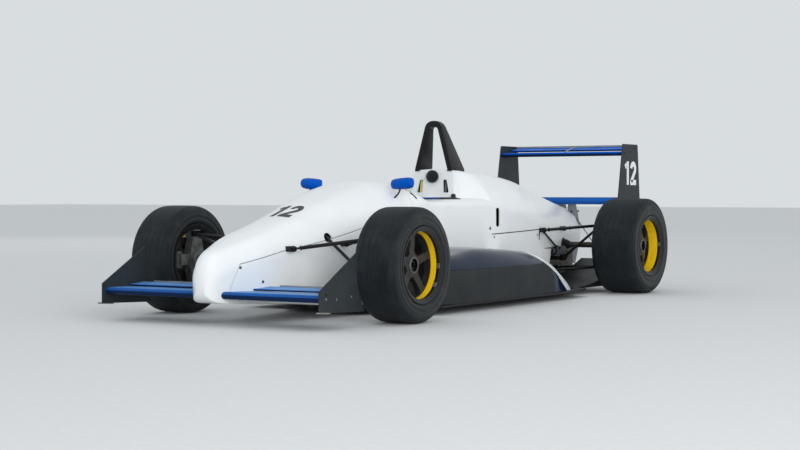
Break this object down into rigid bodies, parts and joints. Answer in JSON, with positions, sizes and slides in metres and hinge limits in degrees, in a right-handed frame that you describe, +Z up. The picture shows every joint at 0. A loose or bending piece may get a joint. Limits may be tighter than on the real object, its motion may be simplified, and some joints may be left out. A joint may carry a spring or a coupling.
{
  "type": "open wheel single-seat racing car",
  "caption": "Open wheel single-seat racing car with front and rear wings, slick tyres, sidepods, an open cockpit and working steering.",
  "frame": {"origin": "middle of the car's footprint, on the ground under the tyres", "axes": "+Y towards the car's rear, +X to the car's left, +Z up"},
  "size_m": [1.572, 4, 1.02],
  "materials": {
    "white_paint": "gloss",
    "blue_paint": "gloss",
    "navy_paint": "gloss",
    "grey_composite": "matte",
    "black_paint": "satin",
    "wheel_alloy": "satin",
    "tyre_rubber": "matte",
    "brake_iron": "satin",
    "alloy_casting": "rough",
    "bright_steel": "satin",
    "mirror_glass": "polished",
    "black_leather": "matte",
    "black_plastic": "matte"
  },
  "bodies": {
    "root": {"nose_cover": "white_paint", "monocoque": "white_paint", "front_wing": "blue_paint", "front_flaps": "blue_paint", "front_endplates": "grey_composite", "mirror_housings": "blue_paint", "mirror_glasses": "mirror_glass", "front_wishbones": "black_paint", "front_pushrods": "black_paint", "dashboard": "black_plastic", "steering_rack": "alloy_casting", "seat": "black_leather", "roll_hoop": "black_paint", "headrest_panel": "white_paint", "headrest_pad": "black_leather", "engine_cover": "white_paint", "engine_panels": "white_paint", "sidepod_left": "navy_paint", "sidepod_right": "navy_paint", "radiators": "alloy_casting", "undertray": "grey_composite", "diffuser": "grey_composite", "engine_block": "alloy_casting", "gearbox": "alloy_casting", "rear_wishbones": "black_paint", "rear_pullrods": "black_paint", "rear_wing": "blue_paint", "rear_beam_wing": "blue_paint", "rear_endplates": "grey_composite", "rear_wing_post": "grey_composite", "wing_stays": "bright_steel", "upright_rear_left": "alloy_casting", "upright_rear_right": "alloy_casting"},
    "knuckle_left": {"upright_front_left": "alloy_casting"},
    "knuckle_right": {"upright_front_right": "alloy_casting"},
    "wheel_front_left": {"rim_front_left": "wheel_alloy", "tyre_front_left": "tyre_rubber", "hub_front_left": "brake_iron"},
    "wheel_front_right": {"rim_front_right": "wheel_alloy", "tyre_front_right": "tyre_rubber", "hub_front_right": "brake_iron"},
    "wheel_rear_left": {"rim_rear_left": "wheel_alloy", "tyre_rear_left": "tyre_rubber", "hub_rear_left": "brake_iron"},
    "wheel_rear_right": {"rim_rear_right": "wheel_alloy", "tyre_rear_right": "tyre_rubber", "hub_rear_right": "brake_iron"},
    "rack": {"track_rods": "black_paint"},
    "steering": {"steering_wheel": "black_leather"}
  },
  "joints": [
    {"name": "steer_left", "type": "hinge", "parent": "root", "child": "knuckle_left", "pos_m": [0.585, -1.32, 0.273], "axis": [0, 0, 1], "range_deg": [-18, 18]},
    {"name": "steer_right", "type": "hinge", "parent": "root", "child": "knuckle_right", "pos_m": [-0.585, -1.32, 0.273], "axis": [0, 0, 1], "range_deg": [-18, 18]},
    {"name": "spin_front_left", "type": "hinge", "parent": "knuckle_left", "child": "wheel_front_left", "pos_m": [0.671, -1.32, 0.273], "axis": [1, 0, 0], "continuous": true},
    {"name": "spin_front_right", "type": "hinge", "parent": "knuckle_right", "child": "wheel_front_right", "pos_m": [-0.671, -1.32, 0.273], "axis": [1, 0, 0], "continuous": true},
    {"name": "spin_rear_left", "type": "hinge", "parent": "root", "child": "wheel_rear_left", "pos_m": [0.641, 1.38, 0.289], "axis": [1, 0, 0], "continuous": true},
    {"name": "spin_rear_right", "type": "hinge", "parent": "root", "child": "wheel_rear_right", "pos_m": [-0.641, 1.38, 0.289], "axis": [1, 0, 0], "continuous": true},
    {"name": "rack_slide", "type": "slide", "parent": "root", "child": "rack", "axis": [-1, 0, 0], "range_m": [-0.0295, 0.0295]},
    {"name": "steering_turn", "type": "hinge", "parent": "root", "child": "steering", "pos_m": [0, -0.485, 0.5], "axis": [0, 0.9272, 0.3746], "range_deg": [-150, 150]}
  ],
  "couplings": [
    {"joint": "steer_right", "follows": "steer_left", "ratio": 1},
    {"joint": "rack_slide", "follows": "steer_left", "m_per_rad": 0.09345},
    {"joint": "steering_turn", "follows": "steer_left", "ratio": 8}
  ]
}
